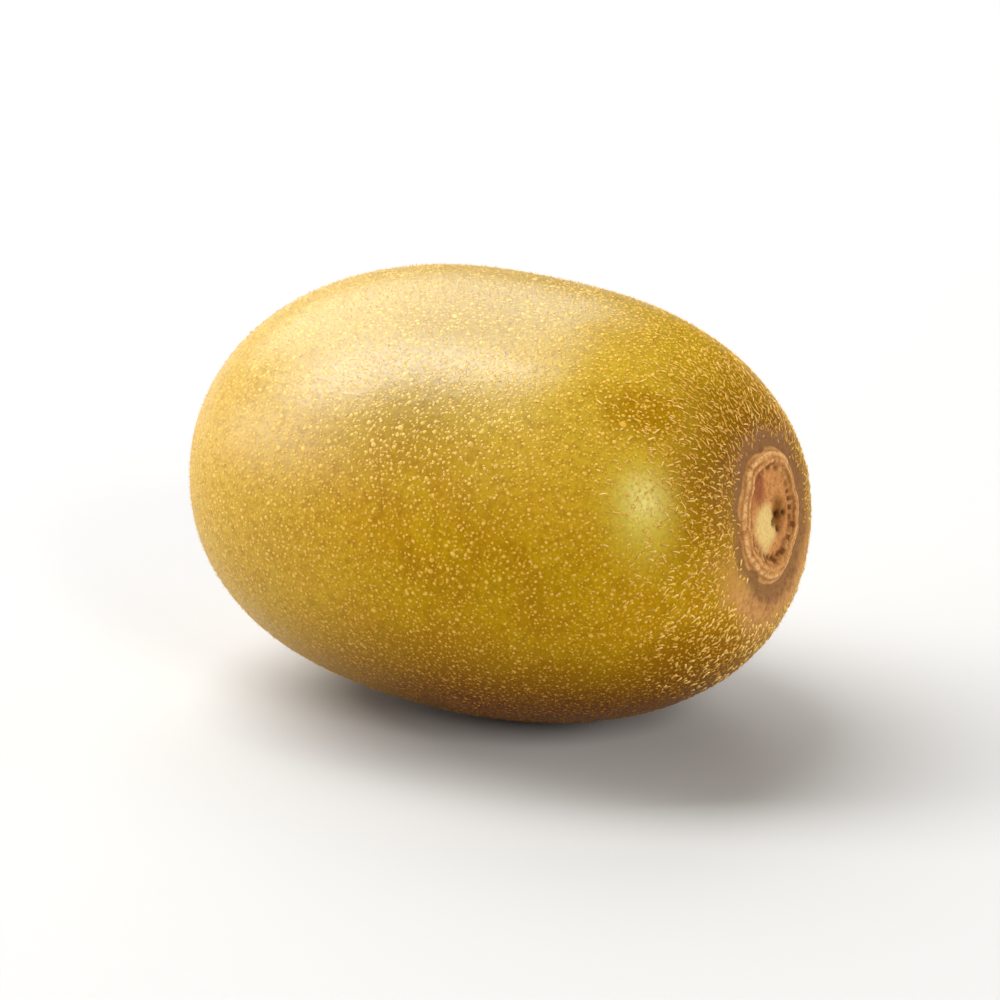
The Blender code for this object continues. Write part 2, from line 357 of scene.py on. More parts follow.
def scar_relief(across, up):
    """Height of the scar's ring, groove, disc and pit on the stem end, with its corky layers."""
    around = np.arctan2(up, across)
    r = np.hypot(across, up) / scar_wander(around)
    crumple = 1.0 + 0.16 * np.cos(13 * around + 1.0) + 0.1 * np.cos(7 * around + 2.5)
    ring = CORK_RING_HEIGHT * crumple * bump(r, CORK_RING_RADIUS, CORK_RING_HALF_WIDTH)
    hollow = SCAR_HOLLOW_DEPTH * bump(r, SCAR_HOLLOW_RADIUS, 1.1 * CORK_RING_HALF_WIDTH)
    line, teeth, second = groove_marks(across, up)
    groove = GROOVE_DEPTH * line + CRENEL_DEPTH * (teeth + second)
    from_disc = np.hypot(across - GROOVE_PLACE[0], up - GROOVE_PLACE[1])
    disc = DISC_DEPTH / (1.0 + np.exp(np.minimum(60.0, (from_disc - DISC_RADIUS) / (0.12 * DISC_RADIUS))))
    from_pit = np.hypot(across - PIT_PLACE[0], up - PIT_PLACE[1])
    pit = PIT_DEPTH * bump(from_pit, 0.0, PIT_RADIUS) + PIT_HOLE_DEPTH * pit_holes(across, up)
    place = np.stack([across, up, np.zeros_like(across)], axis=-1)
    layers, cracks = cork_layers(across, up)
    in_ring = smooth_step(from_disc, *CORK_INSIDE)
    rough = CORK_GRAIN_HEIGHT * grain(place, CORK_GRAIN, 5)
    rough = rough + in_ring * (CORK_LAYER_HEIGHT * layers - CORK_CRACK_DEPTH * cracks)
    rough = rough * smooth_step(r, *CORK_OUTSIDE)
    foot = RING_FOOT_DEPTH * bump(r, RING_FOOT_RADIUS, RING_FOOT_HALF_WIDTH)
    return ring - hollow - groove - disc - pit + rough - foot


def scar_place(points):
    """Places seen on the stem end's face: across it, up it, and in front of it."""
    normal = np.array([math.cos(STEM_FACE_TILT), 0.0, math.sin(STEM_FACE_TILT)])
    up_the_face = np.array([-math.sin(STEM_FACE_TILT), 0.0, math.cos(STEM_FACE_TILT)])
    offset = points - STEM_FACE_CENTRE
    return offset[..., 1], offset @ up_the_face, offset @ normal, normal


def with_stem_end(points):
    """The points moved to the flattened stem end and its scar, where they lie near them."""
    across, up, height, normal = scar_place(points)
    flattened = -STEM_SHOULDER_SOFTNESS * np.logaddexp(0.0, -height / STEM_SHOULDER_SOFTNESS)
    lift = flattened - height + scar_relief(across, up)
    near = height > -8.0 * STEM_SHOULDER_SOFTNESS
    return points + normal * np.where(near, lift, 0.0)[..., None]


def with_blossom_end(points):
    """The points moved to the blossom end's beak, dimple and puckers."""
    distance = np.hypot(points[..., 1], points[..., 2])
    around = np.arctan2(points[..., 2], points[..., 1])
    beak = BEAK_HEIGHT * bump(distance, 0.0, BEAK_RADIUS)
    dimple = DIMPLE_DEPTH * bump(distance, 0.0, DIMPLE_RADIUS)
    puckers = PUCKER_DEPTH * np.cos(PUCKERS * around) * bump(distance, PUCKER_RADIUS, PUCKER_HALF_WIDTH)
    moved = points.copy()
    moved[..., 0] -= np.where(points[..., 0] > 0.0, 0.0, beak - dimple + puckers)
    return moved


def skin_points(directions):
    """The finished surface in those directions, in the part's own frame."""
    points = with_blossom_end(with_stem_end(oval_points(directions)))
    swell = SWELL_HEIGHT * noise(points, SWELL_SIZE, 21) + PEEL_HEIGHT * noise(points, PEEL_SIZE, 22)
    points = BODY_CENTRE + points + directions * swell[..., None]
    points[..., 2] = np.maximum(points[..., 2], 0.0)
    return points


def directions_at(from_stem, around):
    """Directions by the angle from the scar and the angle around the fruit.

    The rings are centred on the scar at the stem end, and on the fruit's axis further along.
    """
    from_stem, around = np.broadcast_arrays(from_stem, around)
    scar_lift = math.atan2(STEM_FACE_CENTRE[2], STEM_FACE_CENTRE[0])
    turn = scar_lift * 0.5 * (1.0 + np.cos(np.minimum(np.pi, 2.0 * from_stem)))
    x = np.cos(from_stem)
    y = np.sin(from_stem) * np.cos(around)
    z = np.sin(from_stem) * np.sin(around)
    return np.stack(
        [x * np.cos(turn) - z * np.sin(turn), y, x * np.sin(turn) + z * np.cos(turn)], axis=-1
    )


def unit(vectors):
    """The same directions, each with length 1."""
    return vectors / np.linalg.norm(vectors, axis=-1, keepdims=True)


def surface_frames(from_stem, around):
    """Surface points with their outward normals and the directions along and around the fruit."""
    step = math.radians(0.4)
    points = skin_points(directions_at(from_stem, around))
    ahead = skin_points(directions_at(from_stem + step, around))
    behind = skin_points(directions_at(from_stem - step, around))
    left = skin_points(directions_at(from_stem, around + step))
    right = skin_points(directions_at(from_stem, around - step))
    along = unit(ahead - behind)
    normals = unit(np.cross(left - right, ahead - behind))
    normals *= np.sign(np.sum(normals * (points - BODY_CENTRE), axis=-1))[..., None]
    return points, normals, along, np.cross(normals, along)


def scattered(spacing, draw, first, last):
    """Angles of places spread evenly but not in rows, about one for each square of that spacing."""
    angles = np.linspace(first, last, 400)
    spokes = np.linspace(0.0, 2.0 * np.pi, 49)
    loops = skin_points(directions_at(angles[:, None], spokes[None, :]))
    reach = np.linalg.norm(np.diff(loops, axis=0), axis=-1).mean(axis=1)
    reach = np.concatenate([[0.0], np.cumsum(reach)])
    girths = np.linalg.norm(np.diff(loops, axis=1), axis=-1).sum(axis=1)
    from_stem, around = [], []
    for row in range(int(reach[-1] / spacing)):
        place = (row + 0.5) * spacing
        count = max(1, round(np.interp(place, reach, girths) / spacing))
        places = place + draw.uniform(-0.48, 0.48, count) * spacing
        from_stem.append(np.interp(places, reach, angles))
        around.append((np.arange(count) + draw.uniform(-0.45, 0.45, count)) * 2.0 * np.pi / count)
    return np.concatenate(from_stem), np.concatenate(around)


def from_place(across, up, place, height=1.0):
    """Distance from a place on the scar's face, counted so that a stain is that much taller than wide."""
    return np.hypot(across - place[0], (up - place[1]) / height)


def skin_zones(points, from_scar, ragged):
    """The zones of the fruit's sides and of its blossom end, with painted shade on the underside and the
    top, a painted glow, and a partly painted glint.
    """
    x, y, z = np.moveaxis(points, -1, 0)
    from_blossom = np.where(x < 0.0, np.hypot(y, z - BODY_CENTRE[2]), FAR_AWAY)
    from_blossom = from_blossom * (1.0 + 0.12 * noise(points, 3.0 * MM, 33))
    from_green_glint = np.linalg.norm((points - GREEN_GLINT_PATCH) * [1.0, 1.0, 0.62], axis=-1)
    from_olive = np.linalg.norm((points - OLIVE_PATCH) * [0.7, 1.0, 1.3], axis=-1)
    from_glow = np.linalg.norm(points - GLOW_PATCH, axis=-1)
    from_brown = np.linalg.norm(points - BROWN_PATCH, axis=-1)
    waxy = smooth_step(z, *EDGES["waxy_height"]) * smooth_step(from_scar, *EDGES["waxy_from_scar"])
    stem_brown = smooth_step(from_scar, *EDGES["stem_brown_from_scar"])
    return {
        # painted shade: the skin darkens to brown towards the floor
        "underside_shade": smooth_step(z, *EDGES["underside_shade"]),
        # painted shade: the top is darker and greener, set against the strong lamps above
        "top_countershade": smooth_step(z, *EDGES["top_countershade"]),
        "waxy": waxy,
        "blossom_half": smooth_step(x, *EDGES["blossom_half"]),
        "stem_brown": stem_brown * smooth_step(z, *EDGES["stem_brown_height"]),
        # greener skin, painted paler as part of a glint: partly painted highlight
        "green_patch_and_glint": smooth_step(from_green_glint, *EDGES["green_patch_and_glint"]),
        "olive_patch": smooth_step(from_olive * ragged, *EDGES["olive_patch"]),
        # painted highlight: a pale glow beside the lamps' highlight
        "painted_glow": smooth_step(from_glow, *EDGES["painted_glow"]),
        "brown_patch": smooth_step(from_brown * ragged**0.5, *EDGES["brown_patch"]),
        "flush": smooth_step(from_blossom, *EDGES["flush"]),
        "flush_dark": smooth_step(from_blossom, *EDGES["flush_dark"]),
    }


def bare_zones(up, around, r, ragged):
    """The dusty skin round the cork ring, the tan skin below it, and how far both are bare."""
    above, below, right = np.sin(around), -np.sin(around), np.cos(around)
    dust_end = DUST_RADIUS + DUST_GAIN_ABOVE * np.clip(above, 0.0, 1.0) ** 2
    dust_end = dust_end + DUST_GAIN_BELOW * np.clip(below, 0.0, 1.0) ** 2
    dust_end = dust_end + DUST_GAIN_RIGHT * np.clip(right, 0.0, 1.0) ** 2
    tan = smooth_step(r * ragged**0.4, *EDGES["tan_inside"]) * np.clip(-up / BELOW_SCAR, 0.0, 1.0)
    tan = tan * smooth_step(r * ragged**0.5, *EDGES["tan_outside"])
    worn = smooth_step(r * ragged**0.4, dust_end + 0.9 * MM, dust_end - 1.5 * MM)
    return {
        "dust": smooth_step(r * ragged**0.25, dust_end + 2.0 * MM, dust_end - 0.8 * MM),
        "tan_below": tan,
        "bare": np.maximum(worn, smooth_step(tan, 0.1, 0.7) * smooth_step(r, *EDGES["tan_bare"])),
    }


def scar_zones(across, up, r, ragged, stray):
    """The zones of the cork ring, of the disc inside it, and of their marks and stains, with painted shade
    in the cork's crevices and in the pit's hollow.
    """
    from_disc = from_place(across, up, GROOVE_PLACE)
    from_pit = from_place(across, up, PIT_STAIN_AND_SHADE_PLACE, STAIN_HEIGHT)
    from_rust = from_place(across, up, RUST_PLACE, STAIN_HEIGHT)
    around_disc = np.arctan2(up - GROOVE_PLACE[1], across - GROOVE_PLACE[0])
    beads = smooth_step(np.cos(BEADS * around_disc + 2.5 * np.sin(3 * around_disc)), -0.6, 0.3)
    line, teeth, second = groove_marks(across, up)
    spot = bump(from_place(across, up, SPOT_PLACE), 0.0, SPOT_RADIUS)
    marks = line * (0.3 + 0.9 * beads) + teeth + second + spot
    layers, cracks = cork_layers(across, up)
    crest_line = bump(r, CREST_LINE_RADIUS, CREST_LINE_HALF_WIDTH)
    in_ring = smooth_step(from_disc, *EDGES["in_ring"])
    return {
        "cork": smooth_step(r * stray, *EDGES["cork"]),
        "crest": np.maximum(0.85 * smooth_step(layers, 0.1, 0.8), crest_line) * in_ring,
        # painted shade in the hollows and cracks of the cork's layers
        "crevice_shade": np.maximum(smooth_step(layers, -0.2, -0.8), cracks) * in_ring,
        "disc": smooth_step(from_disc * stray, *EDGES["disc"]),
        "pale": smooth_step(from_place(across, up, PALE_PLACE) * ragged, *EDGES["pale"]),
        "rust": smooth_step(from_rust * ragged, *EDGES["rust"]) * (r < RUST_REACH),
        "groove": np.clip(marks, 0.0, 1.0) * (r < GROOVE_REACH),
        # the pit's dark stain, partly painted shade in its hollow
        "pit": smooth_step(from_pit * stray, *EDGES["pit"]),
        "pit_holes": pit_holes(across, up),
    }


def zones(points):
    """How far each kind of skin reaches at those points: name to shares from 0 to 1."""
    across, up, _, _ = scar_place(points - BODY_CENTRE)
    across = np.where(points[..., 0] > 0.0, across, FAR_AWAY)
    around = np.arctan2(up, across)
    r = np.hypot(across, up) / scar_wander(around)
    stray = 1.0 + 0.05 * noise(points, 1.3 * MM, 31)
    ragged = 1.0 + 0.25 * noise(points, 2.5 * MM, 34) + 0.12 * noise(points, 1.0 * MM, 35)
    from_scar = np.linalg.norm(points - BODY_CENTRE - STEM_FACE_CENTRE, axis=-1)
    from_scar = from_scar * (1.0 + 0.08 * noise(points, 4.0 * MM, 32))
    made = skin_zones(points, from_scar, ragged)
    made |= bare_zones(up, around, r, ragged)
    made |= scar_zones(across, up, r, ragged, stray)
    made["bare"] = np.maximum(made["bare"], made["cork"])
    return made


def mesh_object(name, points, faces):
    """A new smooth-shaded object of those points and faces, riding on the fruit's body."""
    mesh = bpy.data.meshes.new(name)
    mesh.from_pydata(points.tolist(), [], faces)
    mesh.shade_smooth()
    made = bpy.data.objects.new(name, mesh)
    bpy.context.scene.collection.objects.link(made)
    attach(made, BODY)
    return made


def write_shares(made, name, values):
    """Stores one number for each of the object's points, for its material to read."""
    attribute = made.data.attributes.new(name, "FLOAT", "POINT")
    attribute.data.foreach_set("value", np.asarray(values, dtype=np.float32).ravel())


def ring_angles():
    """Angles of the rings between the two poles, close together where the ends have relief."""
    scar = SCAR_EDGE_ANGLE * np.arange(1, SCAR_RINGS + 1) / SCAR_RINGS
    stretch = BLOSSOM_EDGE_ANGLE - SCAR_EDGE_ANGLE
    body = SCAR_EDGE_ANGLE + stretch * np.arange(1, BODY_RINGS + 1) / BODY_RINGS
    end = math.pi - BLOSSOM_EDGE_ANGLE
    blossom = BLOSSOM_EDGE_ANGLE + end * np.arange(1, BLOSSOM_RINGS + 1) / (BLOSSOM_RINGS + 1)
    return np.concatenate([scar, body, blossom])


def skin_piece():
    """The fruit's skin as one closed fine mesh, with the shares of its zones at each point."""
    angles = ring_angles()
    around = np.arange(POINTS_AROUND) * 2.0 * np.pi / POINTS_AROUND
    rings = skin_points(directions_at(angles[:, None], around[None, :])).reshape(-1, 3)
    poles = skin_points(directions_at(np.array([0.0, np.pi]), np.zeros(2)))
    points = np.concatenate([rings, poles])
    stem_pole, blossom_pole = len(rings), len(rings) + 1
    last = (len(angles) - 1) * POINTS_AROUND
    faces = []
    for i in range(POINTS_AROUND):
        j = (i + 1) % POINTS_AROUND
        faces.append((stem_pole, i, j))
        faces.append((blossom_pole, last + j, last + i))
        for low in range(0, last, POINTS_AROUND):
            high = low + POINTS_AROUND
            faces.append((low + i, high + i, high + j, low + j))
    made = mesh_object("skin", points, faces)
    for name, values in zones(points).items():
        write_shares(made, name, values)
    unwrap(made, len(angles))
    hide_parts(NODE)
    return made


def unwrap(made, rings):
    """Gives the skin its texture layout: across by the angle around, and up by the ring."""
    mesh = made.data
    layout = mesh.uv_layers.new(name="OFBake")
    inner = rings * POINTS_AROUND
    places = np.zeros((len(mesh.loops), 2))
    for face in mesh.polygons:
        corners = list(face.vertices)
        columns = [corner % POINTS_AROUND for corner in corners if corner < inner]
        wraps = 0 in columns and POINTS_AROUND - 1 in columns
        for loop, corner in zip(face.loop_indices, corners):
            if corner < inner:
                column = corner % POINTS_AROUND
                column = POINTS_AROUND if wraps and column == 0 else column
                ring = corner // POINTS_AROUND + 1
            else:
                column = max(columns) - 0.5 if not wraps else POINTS_AROUND - 0.5
                ring = 0 if corner == inner else rings + 1
            places[loop] = (column / POINTS_AROUND, ring / (rings + 1))
    layout.data.foreach_set("uv", places.ravel())


def dots_piece(name, first, last, seed):
    """Low pale domes over one half of the skin, each a little different in size, shape and shade."""
    draw = np.random.default_rng(seed)
    from_stem, around = scattered(DOT_SPACING, draw, first, last)
    points, normals, along, aside = surface_frames(from_stem, around)
    zone = zones(points)
    crowd = 0.9 + 0.25 * noise(points, 5.0 * MM, 41)
    crowd *= 1.0 - 0.5 * zone["green_patch_and_glint"] - 0.8 * zone["flush"] - 0.35 * zone["stem_brown"]
    crowd *= 1.0 - 0.25 * zone["waxy"]
    kept = (draw.random(len(points)) < crowd * (1.0 - zone["bare"])) & (points[:, 2] > FLOOR_GAP)
    points, normals, along, aside = points[kept], normals[kept], along[kept], aside[kept]
    count = len(points)
    radius = DOT_RADIUS * draw.lognormal(0.0, 0.25, count)
    radius *= 1.0 - 0.3 * zone["green_patch_and_glint"][kept]
    stretch = 1.0 + draw.random(count) * (0.35 + 0.9 * zone["stem_brown"][kept])
    turn = draw.normal(0.0, 0.8, count)
    long_way = along * np.cos(turn)[:, None] + aside * np.sin(turn)[:, None]
    short_way = np.cross(normals, long_way)
    height = DOT_HEIGHT * np.sqrt(radius / DOT_RADIUS) * draw.uniform(0.7, 1.3, count)
    height *= 1.0 - 0.5 * zone["waxy"][kept]
    corner = np.arange(DOT_SIDES) * 2.0 * np.pi / DOT_SIDES
    rings = []
    for share, rise in DOT_RINGS:
        wobble = 1.0 + draw.uniform(-0.14, 0.14, (count, DOT_SIDES))
        reach = share * radius[:, None] * wobble
        ring = points[:, None] + long_way[:, None] * (reach * stretch[:, None] * np.cos(corner))[..., None]
        ring = ring + short_way[:, None] * (reach * np.sin(corner))[..., None]
        rings.append(ring + (normals * (rise * height)[:, None])[:, None])
    tip = points + normals * height[:, None]
    corners = np.concatenate([rings[0], rings[1], tip[:, None]], axis=1)
    one = []
    for i in range(DOT_SIDES):
        j = (i + 1) % DOT_SIDES
        one.append((i, j, DOT_SIDES + j, DOT_SIDES + i))
        one.append((DOT_SIDES + i, DOT_SIDES + j, 2 * DOT_SIDES))
    each = 2 * DOT_SIDES + 1
    faces = [tuple(k + base for k in face) for base in range(0, count * each, each) for face in one]
    made = mesh_object(name, corners.reshape(-1, 3), faces)
    write_shares(made, "shade", np.repeat(draw.random(count), each))
    rise = np.concatenate([np.zeros(DOT_SIDES), np.full(DOT_SIDES, 0.75), [1.0]])
    write_shares(made, "rise", np.tile(rise, count))
    # dots are browner near the stem, where the skin is brown, and in the underside's painted shade
    brown = np.maximum(zone["stem_brown"], zone["underside_shade"])[kept]
    write_shares(made, "brown", np.repeat(brown, each))
    # paler on the blossom half, and in the glossy zone as a painted highlight
    pale = np.maximum(zone["waxy"], 0.8 * zone["blossom_half"])[kept]
    write_shares(made, "pale", np.repeat(pale, each))
    return made


def spikes(name, roots, leans, normals, lengths, radii, joints, shades, droop):
    """Thin three-sided bristles from under the skin, bending towards it to a point, in one object."""
    count = len(roots)
    side = unit(np.cross(leans, normals))
    rings = []
    for joint in range(joints + 1):
        share = joint / joints
        place = roots + leans * (lengths * share)[:, None]
        place = place - normals * (droop * lengths * share * share)[:, None]
        if joint == joints:
            rings.append(place)
            break
        ahead = unit(leans - normals * (2.0 * droop * share)[:, None])
        over = np.cross(side, ahead)
        thick = radii * (1.0 - 0.6 * share)
        for corner in range(3):
            angle = 2.0 * math.pi * corner / 3.0
            offset = side * math.cos(angle) + over * math.sin(angle)
            rings.append(place + offset * thick[:, None])
    corners = np.stack(rings, axis=1)
    tip = 3 * joints
    one = [(0, 2, 1)]
    for i in range(3):
        j = (i + 1) % 3
        for low in range(0, tip - 3, 3):
            one.append((low + i, low + j, low + 3 + j, low + 3 + i))
        one.append((tip - 3 + i, tip - 3 + j, tip))
    each = tip + 1
    faces = [tuple(k + base for k in face) for base in range(0, count * each, each) for face in one]
    made = mesh_object(name, corners.reshape(-1, 3), faces)
    write_shares(made, "shade", np.repeat(shades, each))
    return made


def bristles_piece():
    """Short pale bristles lying round the stem end, pointing away from the scar."""
    draw = np.random.default_rng(6)
    from_stem, around = scattered(BRISTLE_SPACING, draw, BRISTLES_FIRST, BRISTLES_LAST)
    points, normals, along, aside = surface_frames(from_stem, around)
    zone = zones(points)
    from_scar = np.linalg.norm(points - BODY_CENTRE - STEM_FACE_CENTRE, axis=-1)
    crowd = 0.95 * smooth_step(from_scar, *EDGES["bristles"])
    crowd *= 1.0 - 0.75 * zone["green_patch_and_glint"]
    kept = (draw.random(len(points)) < crowd * (1.0 - zone["bare"])) & (points[:, 2] > 2.0 * FLOOR_GAP)
    points, normals, along, aside = points[kept], normals[kept], along[kept], aside[kept]
    count = len(points)
    turn = draw.normal(0.0, 0.55, count)
    flat = along * np.cos(turn)[:, None] + aside * np.sin(turn)[:, None]
    leans = unit(flat + normals * draw.uniform(0.05, 0.32, count)[:, None])
    lengths = BRISTLE_LENGTH * draw.uniform(0.55, 1.35, count)
    radii = BRISTLE_RADIUS * draw.uniform(0.7, 1.25, count)
    roots = points - normals * BRISTLE_ROOT
    droop = draw.uniform(0.05, 0.3, count)
    return spikes("stem_bristles", roots, leans, normals, lengths, radii, 3, draw.random(count), droop)


def down_piece():
    """Very short fine hairs over the whole skin."""
    draw = np.random.default_rng(7)
    from_stem, around = scattered(DOWN_SPACING, draw, DOWN_FIRST, DOWN_LAST)
    points, normals, along, aside = surface_frames(from_stem, around)
    zone = zones(points)
    # fewer pale hairs in the underside's painted shade
    crowd = 0.9 - 0.6 * zone["underside_shade"]
    kept = (draw.random(len(points)) < crowd) & (zone["bare"] < 0.4) & (points[:, 2] > 2.0 * FLOOR_GAP)
    points, normals, along, aside = points[kept], normals[kept], along[kept], aside[kept]
    count = len(points)
    turn = draw.uniform(0.0, 2.0 * np.pi, count)
    flat = along * np.cos(turn)[:, None] + aside * np.sin(turn)[:, None] + 0.5 * along
    leans = unit(flat * draw.uniform(0.3, 1.0, count)[:, None] + normals)
    lengths = DOWN_LENGTH * draw.uniform(0.5, 1.4, count)
    radii = DOWN_RADIUS * draw.uniform(0.8, 1.2, count)
    roots = points - normals * DOWN_ROOT
    droop = np.zeros(count)
    return spikes("down", roots, leans, normals, lengths, radii, 1, draw.random(count), droop)


def styles_piece():
    """The dried styles at the blossom end: thin, twisted and tapering, leaning out of the dimple."""
    draw = random.Random(STYLE_SEED)
    joints, sides = 9, 7
    points, faces, shades = [], [], []
    for i in range(STYLES):
        around = 2.0 * math.pi * (i + draw.uniform(-0.3, 0.3)) / STYLES
        lean = np.array([0.0, math.cos(around), math.sin(around)])
        spread = STYLE_ROOT_SPREAD * draw.uniform(0.45, 1.0)
        toward_root = unit(np.array([-HALF_LENGTH, 0.0, 0.0]) + lean * spread)
        length = STYLE_LENGTH * draw.uniform(0.7, 1.15)
        curl = draw.uniform(-0.5, 0.5)
        root = skin_points(toward_root)
        side = unit(np.cross(lean, [-1.0, 0.0, 0.0]))
        outward = unit(np.cross(side, lean))
        start = root - outward * STYLE_ROOT_DEPTH
        base = len(points)
        for joint in range(joints + 1):
            share = joint / joints
            rise = math.sin(math.pi * 0.62 * share) * 0.5 * length + STYLE_ROOT_DEPTH * share
            place = start + lean * length * share**1.3 + outward * rise + side * curl * length * share**2
            thick = 0.5 * STYLE_THICKNESS * (1.0 - 0.55 * share) * (1.0 + 0.18 * math.sin(7.0 * share + i))
            for corner in range(sides):
                angle = 2.0 * math.pi * corner / sides + 1.4 * share + i
                flat = 0.62 if corner % 2 else 1.0
                offset = side * math.cos(angle) + unit(outward - lean * share) * math.sin(angle)
                points.append(place + offset * thick * flat)
                shades.append(share)
            if joint:
                low = base + (joint - 1) * sides
                for corner in range(sides):
                    after = (corner + 1) % sides
                    faces.append((low + corner, low + after, low + sides + after, low + sides + corner))
        faces.append(tuple(base + sides - 1 - k for k in range(sides)))
        faces.append(tuple(base + joints * sides + k for k in range(sides)))
    made = mesh_object("dried_styles", np.array(points), faces)
    write_shares(made, "shade", shades)
    return made


def node(tree, kind, sockets=(), **settings):
    """A new shader node with its settings, and its named inputs set to values or linked."""
    made = tree.nodes.new("ShaderNode" + kind)
    for name, value in settings.items():
        setattr(made, name, value)
    for name, value in dict(sockets).items():
        if isinstance(value, bpy.types.NodeSocket):
            tree.links.new(value, made.inputs[name])
        else:
            made.inputs[name].default_value = value
    return made


def mixed(tree, share, first, second, blend="MIX"):
    """The colour between two colours, by a share from 0 to 1."""
    made = tree.nodes.new("ShaderNodeMix")
    made.data_type = "RGBA"
    made.blend_type = blend
    made.clamp_factor = True
    for place, value in ((0, share), (6, first), (7, second)):
        if isinstance(value, bpy.types.NodeSocket):
            tree.links.new(value, made.inputs[place])
        else:
            made.inputs[place].default_value = value
    return made.outputs[2]


def calculated(tree, operation, first, second):
    """The result of one sum on two numbers."""
    made = tree.nodes.new("ShaderNodeMath")
    made.operation = operation
    for place, value in enumerate((first, second)):
        if isinstance(value, bpy.types.NodeSocket):
            tree.links.new(value, made.inputs[place])
        else:
            made.inputs[place].default_value = value
    return made.outputs[0]


def ranged(tree, value, low, high, to_low=0.0, to_high=1.0):
    """The value carried smoothly from one range to another, and held at its ends."""
    sockets = {"Value": value, "From Min": low, "From Max": high, "To Min": to_low, "To Max": to_high}
    return node(tree, "MapRange", sockets, interpolation_type="SMOOTHSTEP").outputs["Result"]


def patterned(tree, size, detail=3.0, rough=0.55, warp=0.0):
    """Noise in the part's own space, with lumps about that size in metres."""
    place = node(tree, "TexCoord").outputs["Object"]
    sockets = {
        "Vector": place,
        "Scale": 1.0 / size,
        "Detail": detail,
        "Roughness": rough,
        "Distortion": warp,
    }
    return node(tree, "TexNoise", sockets).outputs["Fac"]


def share_of(tree, name):
    """The number stored at each point under that name."""
    return node(tree, "Attribute", attribute_name=name).outputs["Fac"]


def new_material(name):
    """A material with a plain shader, its node tree and that shader."""
    material = bpy.data.materials.new(name)
    material.use_nodes = True
    shader = material.node_tree.nodes["Principled BSDF"]
    return material, material.node_tree, shader


def set_values(shader, **values):
    """Sets the shader's own sockets. An underscore in a name stands for a space."""
    for name, value in values.items():
        shader.inputs[name.replace("_", " ")].default_value = value


# Colours without light on them, except the zones marked as painted shade or painted highlight. Each list of
# zones has the zone's name, its colour and its strength.
GOLD = colour(196, 149, 0)
OLIVE_GOLD = colour(182, 136, 0)
WARM_TAN = colour(200, 146, 34)
YELLOW_OLIVE = colour(208, 172, 0)
BROWN_AND_SHADE = colour(92, 30, 0)
DEEP_BROWN = colour(122, 76, 18)
GRAIN_DARK = colour(142, 96, 0)
PALE_DOT = colour(226, 176, 50)
CORK_FLECK = colour(156, 96, 50)
DUST_DARK = colour(122, 82, 46)
SIDES = [
    # painted shade: the top is darker and greener, set against the strong lamps above
    ("top_countershade", colour(166, 138, 4), 0.9),
    # painted shade: the underside darkens to brown towards the floor
    ("underside_shade", BROWN_AND_SHADE, 0.92),
    ("blossom_half", colour(215, 180, 86), 0.72),
    ("stem_brown", colour(112, 66, 0), 0.88),
    # painted highlight: a pale glow beside the lamps' highlight
    ("painted_glow", colour(236, 200, 76), 0.34),
    ("olive_patch", colour(162, 120, 0), 0.85),
    ("brown_patch", colour(118, 60, 0), 0.5),
]
PATCHES = [
    # greener skin, painted paler as part of a glint: partly painted highlight
    ("green_patch_and_glint", colour(226, 208, 60), 0.8),
    ("flush", colour(188, 112, 40), 0.75),
]
ENDS = [
    ("flush_dark", colour(96, 46, 14), 0.85),
    ("tan_below", colour(210, 152, 98), 0.75),
    ("dust", colour(140, 98, 62), 0.9),
]
CORK = [
    ("cork", colour(200, 144, 82), 1.0),
    ("disc", colour(200, 138, 80), 0.92),
]
CORK_LAYERS = [
    ("crest", colour(240, 194, 130), 0.7),
    # painted shade in the hollows and cracks of the cork's layers
    ("crevice_shade", colour(148, 94, 48), 0.8),
]
SCAR_MARKS = [
    ("pale", colour(226, 196, 124), 0.9),
    ("rust", colour(142, 76, 44), 0.85),
    ("groove", colour(108, 58, 26), 0.9),
    # the pit's dark stain, partly painted shade in its hollow
    ("pit", colour(120, 72, 14), 0.9),
    ("pit_holes", colour(46, 20, 4), 1.0),
]

# Noise that colours the skin: lump size, detail, roughness and warp, then the noise where the colour
# starts, where it is full, and its full share
BLOTCHES = {
    "olive": (24.0 * MM, 3.0, 0.55, 0.0, 0.38, 0.62, 1.0),
    "tan": (9.0 * MM, 4.0, 0.6, 0.0, 0.5, 0.75, 0.14),
    "yellow": (6.5 * MM, 2.0, 0.5, 0.5, 0.46, 0.64, 0.34),
    "mottle": (1.1 * MM, 4.0, 0.65, 0.0, 0.4, 0.68, 0.36),
    "worn": (0.9 * MM, 4.0, 0.65, 0.0, 0.42, 0.66, 0.42),
    "flecks": (0.6 * MM, 4.0, 0.7, 0.8, 0.46, 0.62, 0.6),
}
SPECK_SPACING = 0.5 * MM
FINE_GRAIN = 0.35 * MM
COARSE_GRAIN = 1.2 * MM
BUMP_DEPTH = 0.08 * MM
SCATTER_DEPTH = 1.0 * MM


def zoned(tree, base, zone_colours, within=1.0):
    """The base colour with the colours of those zones laid over it, one after another."""
    for name, tint, strength in zone_colours:
        share = calculated(tree, "MULTIPLY", share_of(tree, name), strength)
        base = mixed(tree, calculated(tree, "MULTIPLY", share, within), base, tint)
    return base


def blotches(tree, name):
    """How far the noise of that name covers the skin, up to its full share."""
    size, detail, rough, warp, start, full, share = BLOTCHES[name]
    return ranged(tree, patterned(tree, size, detail, rough, warp), start, full, 0.0, share)


